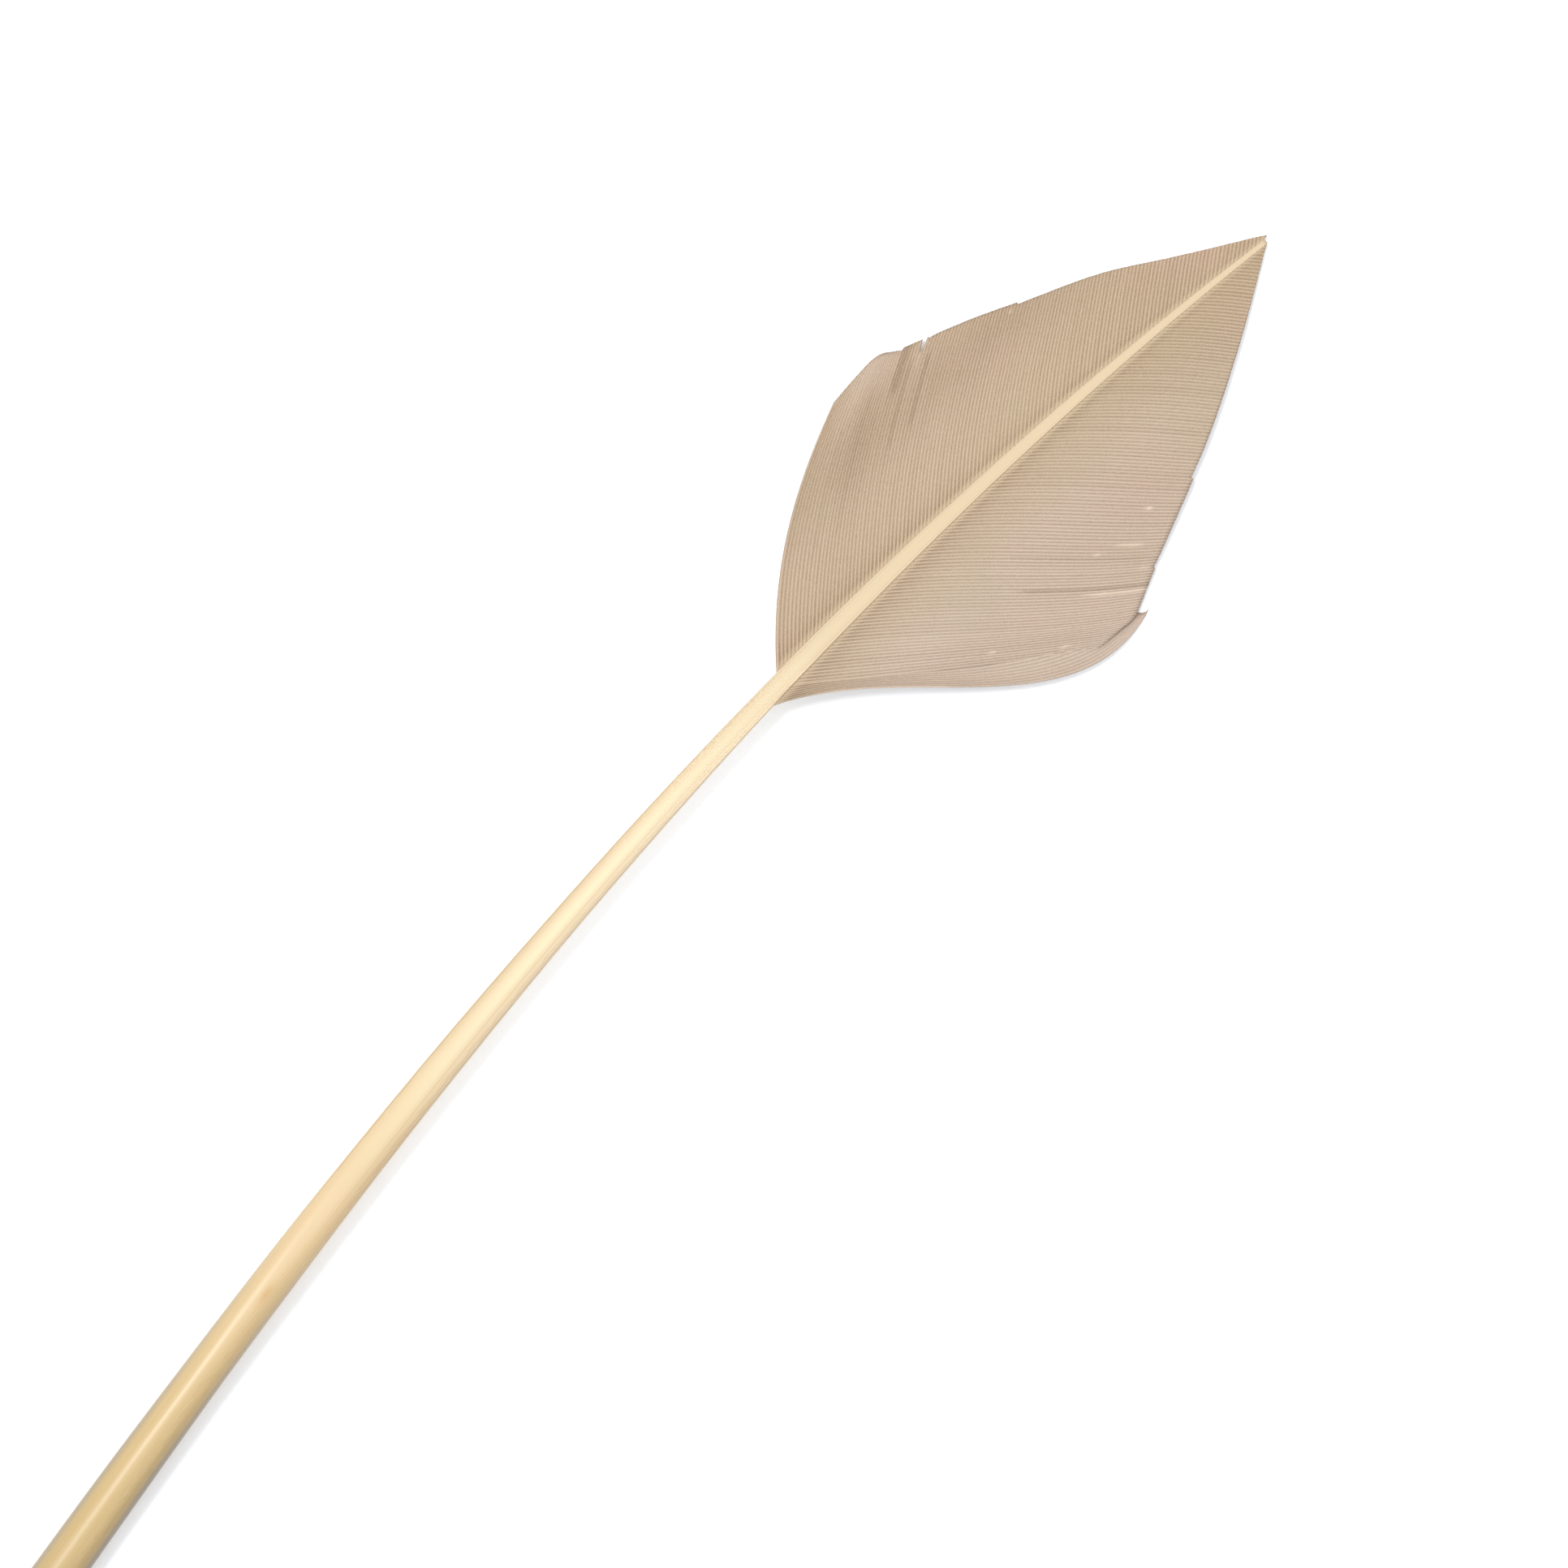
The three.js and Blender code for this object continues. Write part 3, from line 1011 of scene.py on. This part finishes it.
def web_layers(barbs, streaks, flecks):
    """The values that the finish of the barbs reads."""
    spread = np.ones(barbs["points"].shape[:3])
    mark = marked(streaks, flecks, barbs["root_x"], barbs["run"], barbs["length"])
    tint = barbs["chance"].normal(0, 1, barbs["root_x"].size)
    return {
        "ridge": RIDGE_SHADE * spread,
        "reach": barbs["run"][..., None] * spread,
        "from_root": barbs["from_root"][..., None] * spread,
        "root": barbs["root_x"][:, None, None] * spread,
        "tint": tint[:, None, None] * spread,
        "mark": mark[..., None] * spread,
        "worn": barbs["worn"][..., None] * spread,
    }


print("a rib is lit on", int((RIDGE_SHADE > 0.5).sum()), "of its", RIDGE_SHADE.size, "points")

# %% Strips into a piece
MAP_COLUMNS = 4
STRIP_SIZE = (0.9, 0.94)
STRIP_CAP_SIZE = (0.03, 0.9)
STRIP_CAP_PLACES = [(0.91, 0), (0.95, 0)]


def add_web(name, node, side, runs):
    """One web from one or more runs of barbs, with a row on its map for every strip."""
    points = np.concatenate([barbs["points"] for barbs, layers in runs])
    layers = {layer: np.concatenate([one[layer] for barbs, one in runs]) for layer in runs[0][1]}
    count, steps, around = points.shape[:3]
    caps = [list(range(around))[::-1], list(range((steps - 1) * around, steps * around))]
    one_strip = [face[::side] for face in ring_faces(steps, around).tolist() + caps]
    strip_spots = (ring_map(steps, around) * STRIP_SIZE)[:, ::side].reshape(-1, 2)
    cap_spots = cap_map(around) * STRIP_CAP_SIZE
    cap_spots = [(cap_spots + place)[::side] for place in STRIP_CAP_PLACES]
    strip_spots = np.concatenate([strip_spots, *cap_spots])
    rows = math.ceil(count / MAP_COLUMNS)
    faces = []
    spots = []
    for barb in range(count):
        first = barb * steps * around
        faces += [[first + corner for corner in face] for face in one_strip]
        spots.append((strip_spots + (barb // rows, barb % rows)) / (MAP_COLUMNS, rows))
    web = add_piece(name, points.reshape(-1, 3), faces, np.concatenate(spots), layers)
    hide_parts(node)
    return web


print("a web's map has", MAP_COLUMNS, "columns of strips")

# %% [markdown]
# Now the helpers make the two webs. The left one is a single run of barbs. The right one has a second
# run: its lowest lock came loose and curls out at the corner, so its barbs have guides of their own.
# Each run has its own seed, so the small chances in it are the same every time the file runs.

# %% The left web
LEFT_PITCH = 0.78
LEFT_WAVE = 0.07

left_barbs = lay_barbs(1, LEFT_GUIDES, LEFT_PITCH, LEFT_TRIMS, LEFT_BROKEN, seed=11)
shape_barbs(left_barbs, LEFT_SPLITS, LEFT_WORN, LEFT_WAVE)
left_layers = web_layers(left_barbs, LEFT_STREAKS, LEFT_FLECKS)
left_web = add_web("left_web", "left_vane", 1, [(left_barbs, left_layers)])

# %% The right web and its lowest lock
RIGHT_PITCH = 0.735
LOCK_PITCH = 0.6
RIGHT_WAVE = 0.04

right_barbs = lay_barbs(-1, RIGHT_GUIDES, RIGHT_PITCH, RIGHT_TRIMS, [], seed=23)
shape_barbs(right_barbs, RIGHT_SPLITS, RIGHT_WORN, RIGHT_WAVE)
right_layers = web_layers(right_barbs, RIGHT_STREAKS, RIGHT_FLECKS)
lock_barbs = lay_barbs(-1, LOCK_GUIDES, LOCK_PITCH, LOCK_TRIMS, [], seed=5)
shape_barbs(lock_barbs, [], LOCK_WORN, 0)
lock_layers = web_layers(lock_barbs, LOCK_STREAKS, [])
right_runs = [(right_barbs, right_layers), (lock_barbs, lock_layers)]
right_web = add_web("right_web", "right_vane", -1, right_runs)

# %% [markdown]
# The barbs are beige: a little pink near the base of the right web and tan towards the tip. Their
# grooves get painted shade, and they are darker along a band that follows the middle of the left web.
# The strips carry where each point is along the shaft, along its barb and on its rib, so the colours
# follow the barbs exactly. A little noise keeps them from looking combed by a machine.

# %% Beige barbs
BAND_AT = 24
BAND_WIDTH = 8
OLIVE_ENDS = (2, 16)
BAND_TINT = rgb(150, 124, 98)
OLIVE_TINT = rgb(186, 168, 132)
DARK_TONE_AND_GROOVE_SHADE_TINT = rgb(136, 110, 84)
ROOT_TINT = rgb(186, 166, 138)
WORN_TINT = rgb(172, 152, 138)
PALE_MARK_TINT = rgb(226, 208, 190)
SHADE_STREAK_TINT = rgb(120, 92, 68)


def barb_colour(start, colours, band, olive):
    """A web's colour: its colours along the shaft, a darker band, an olive tinge, painted shade in the
    grooves and splits, and marks.
    """
    layers = ("root", "reach", "from_root", "ridge", "tint", "mark", "worn")
    root, reach, from_root, ridge, tint, mark, worn = (read_layer(start, layer) for layer in layers)
    teeth = 1 - reach.step(0.03, 0.16)
    groove_shade = (0.42 + teeth * 0.06 + root.step(255, 285) * 0.14) * (1 - worn * 0.9)
    tints = [
        (from_root.bell(BAND_AT, BAND_WIDTH) * band, BAND_TINT),
        ((1 - from_root.step(*OLIVE_ENDS)) * olive, OLIVE_TINT),
        (tint.step(-0.5, 2.5) * 0.1, DARK_TONE_AND_GROOVE_SHADE_TINT),
        # Painted shade in the grooves between the ribs.
        ((1 - ridge) * groove_shade, DARK_TONE_AND_GROOVE_SHADE_TINT),
        ((1 - from_root.step(0.2, 0.9)) * 0.6, ROOT_TINT),
        (worn * 0.7, WORN_TINT),
        (mark.step(0.05, 1.0), PALE_MARK_TINT),
        # Dark marks are painted shade: the shadow of lifted locks and the shade along splits.
        ((0 - mark).step(0.05, 1.0) * 0.75, SHADE_STREAK_TINT),
    ]
    return lay_tints(ramp_along(root, colours), tints)


print("the darker band runs", BAND_AT, "mm from the shaft")

# %% Patches, specks and cut ends
PATCH_SCALE = 60.0
SPECK_SCALE = 4200.0
BARB_GRAIN = 0.3
BARB_IOR = 1.5
BARB_SHEEN = {"Sheen Weight": 0.15, "Sheen Roughness": 0.4}
PINK_PATCH_TINT = rgb(190, 160, 142)
OLIVE_PATCH_TINT = rgb(176, 162, 134)
PALE_SPECK_TINT = rgb(208, 188, 166)
CUT_END_TINT = rgb(112, 92, 72)


def make_barb_finish(name, colours, band, olive):
    """The finish of one web."""
    barbs, start = new_finish(name)
    place = start.node("ShaderNodeTexCoord", {}, {}, "Object")
    patch_values = {"Vector": place, "Scale": PATCH_SCALE, "Detail": 3.0}
    patches = start.node("ShaderNodeTexNoise", {}, patch_values)
    speck_values = {"Vector": place, "Scale": SPECK_SCALE, "Detail": 2.0}
    specks = start.node("ShaderNodeTexNoise", {}, speck_values)
    cut_end = read_layer(start, "reach").step(0.985, 1.0)
    tints = [
        (patches.step(0.5, 0.75) * 0.3, PINK_PATCH_TINT),
        ((1 - patches.step(0.28, 0.5)) * 0.3, OLIVE_PATCH_TINT),
        (specks.step(0.45, 0.7) * 0.2, PALE_SPECK_TINT),
        ((1 - specks.step(0.3, 0.52)) * 0.15, DARK_TONE_AND_GROOVE_SHADE_TINT),
        (cut_end * 0.2, CUT_END_TINT),
    ]
    colour = lay_tints(barb_colour(start, colours, band, olive), tints)
    roughness = 0.5 + specks * 0.2
    grain = grain_from(specks * 0.6, BARB_GRAIN)
    finish_with(barbs, {"Base Color": colour, "Roughness": roughness, "Normal": grain, "IOR": BARB_IOR})
    finish_with(barbs, BARB_SHEEN)
    print(name, "has", len(barbs.node_tree.nodes), "nodes")
    return barbs


print("specks are about", round(1000 / SPECK_SCALE, 2), "mm apart")

# %% Both webs get their finish
LEFT_COLOURS = [
    (206, rgb(190, 169, 145)),
    (240, rgb(192, 171, 147)),
    (264, rgb(189, 167, 141)),
    (300, rgb(184, 160, 134)),
]
RIGHT_COLOURS = [
    (202, rgb(194, 177, 162)),
    (212, rgb(203, 186, 172)),
    (235, rgb(200, 182, 166)),
    (264, rgb(195, 177, 157)),
    (300, rgb(187, 165, 140)),
]

left_finish = make_barb_finish("barbs_left", LEFT_COLOURS, band=0.35, olive=0.2)
left_web.data.materials.append(left_finish)
right_finish = make_barb_finish("barbs_right", RIGHT_COLOURS, band=0.05, olive=0.45)
right_web.data.materials.append(right_finish)

# %% [markdown]
# The feather lies on a plain white floor in light from all around, as in a small photo tent. The floor
# also glows a little, so that it is white and only the soft shadow shows on it. One soft lamp stands on
# the feather's left and leans towards the quill's end. From there the round quill mirrors it to the
# camera as a thin line of gloss, which light from all around can't give.

# %% Floor
FLOOR_HALF = 8
FLOOR_GLOW = 0.17
FLOOR_COLOUR = (0.89, 0.92, 0.97, 1)
FLOOR_ROUGHNESS = 0.9
WHITE = (1, 1, 1, 1)

floor_mesh = bpy.data.meshes.new("floor")
floor_corners = [(-1, -1), (1, -1), (1, 1), (-1, 1)]
floor_points = [(x * FLOOR_HALF, y * FLOOR_HALF, 0) for x, y in floor_corners]
floor_mesh.from_pydata(floor_points, [], [(0, 1, 2, 3)])
floor = bpy.data.objects.new("floor", floor_mesh)
bpy.context.scene.collection.objects.link(floor)
white = new_finish("white_floor")[0]
finish_with(white, {"Base Color": FLOOR_COLOUR, "Roughness": FLOOR_ROUGHNESS, "Specular IOR Level": 0.0})
finish_with(white, {"Emission Color": WHITE, "Emission Strength": FLOOR_GLOW})
floor_mesh.materials.append(white)
print("floor is", 2 * FLOOR_HALF, "m square")

# %% Light from all around
WALL_LIGHT = 0.29
ROOF_LIGHT = 0.97

tent = bpy.data.worlds.new("tent")
tent.use_nodes = True
sky = Wire(tent.node_tree)
direction = sky.node("ShaderNodeTexCoord", {}, {}, "Generated")
above = sky.node("ShaderNodeSeparateXYZ", {}, {0: direction}, "Z")
glow = WALL_LIGHT + above.math("MAXIMUM", above, 0.0) * ROOF_LIGHT
background = tent.node_tree.nodes["Background"]
tent.node_tree.links.new(glow.socket, background.inputs["Strength"])
background.inputs["Color"].default_value = WHITE
bpy.context.scene.world = tent
bpy.context.scene.view_settings.view_transform = "Standard"
roof_share = (WALL_LIGHT + ROOF_LIGHT) / WALL_LIGHT
print("the tent's roof is", round(roof_share, 1), "times as bright as its walls")

# %% A soft lamp
LAMP_STRENGTH = 1.6
LAMP_ELEVATION = 67
LAMP_LEAN = 7
LAMP_SOFTNESS = 16

lamp_data = bpy.data.lights.new("lamp", "SUN")
lamp_data.energy = LAMP_STRENGTH
lamp_data.angle = math.radians(LAMP_SOFTNESS)
lamp = bpy.data.objects.new("lamp", lamp_data)
lamp.rotation_euler = (math.radians(LAMP_ELEVATION - 90), -math.radians(LAMP_LEAN), 0)
bpy.context.scene.collection.objects.link(lamp)
print("the lamp leans", LAMP_LEAN, "degrees towards the quill's end")

# %% [markdown]
# The camera looks straight down, turned so that the feather runs from the lower left to the upper
# right. The quill's end lies outside the picture.

# %% Camera
VIEW_CENTRE = np.array([194.0, 0.43, 4.0])
VIEW_SIZE = 227.3
VIEW_TURN = -48.62
LENS = 85
SENSOR = 36

camera_data = bpy.data.cameras.new("camera")
camera_data.lens = LENS
camera_data.sensor_width = SENSOR
camera = bpy.data.objects.new("camera", camera_data)
camera_height = VIEW_SIZE * LENS / SENSOR
camera.location = to_frame(VIEW_CENTRE + (0, 0, camera_height))
camera.rotation_euler = (0, 0, math.radians(VIEW_TURN))
bpy.context.scene.collection.objects.link(camera)
bpy.context.scene.camera = camera
print("camera is", round(camera_height), "mm above the feather")
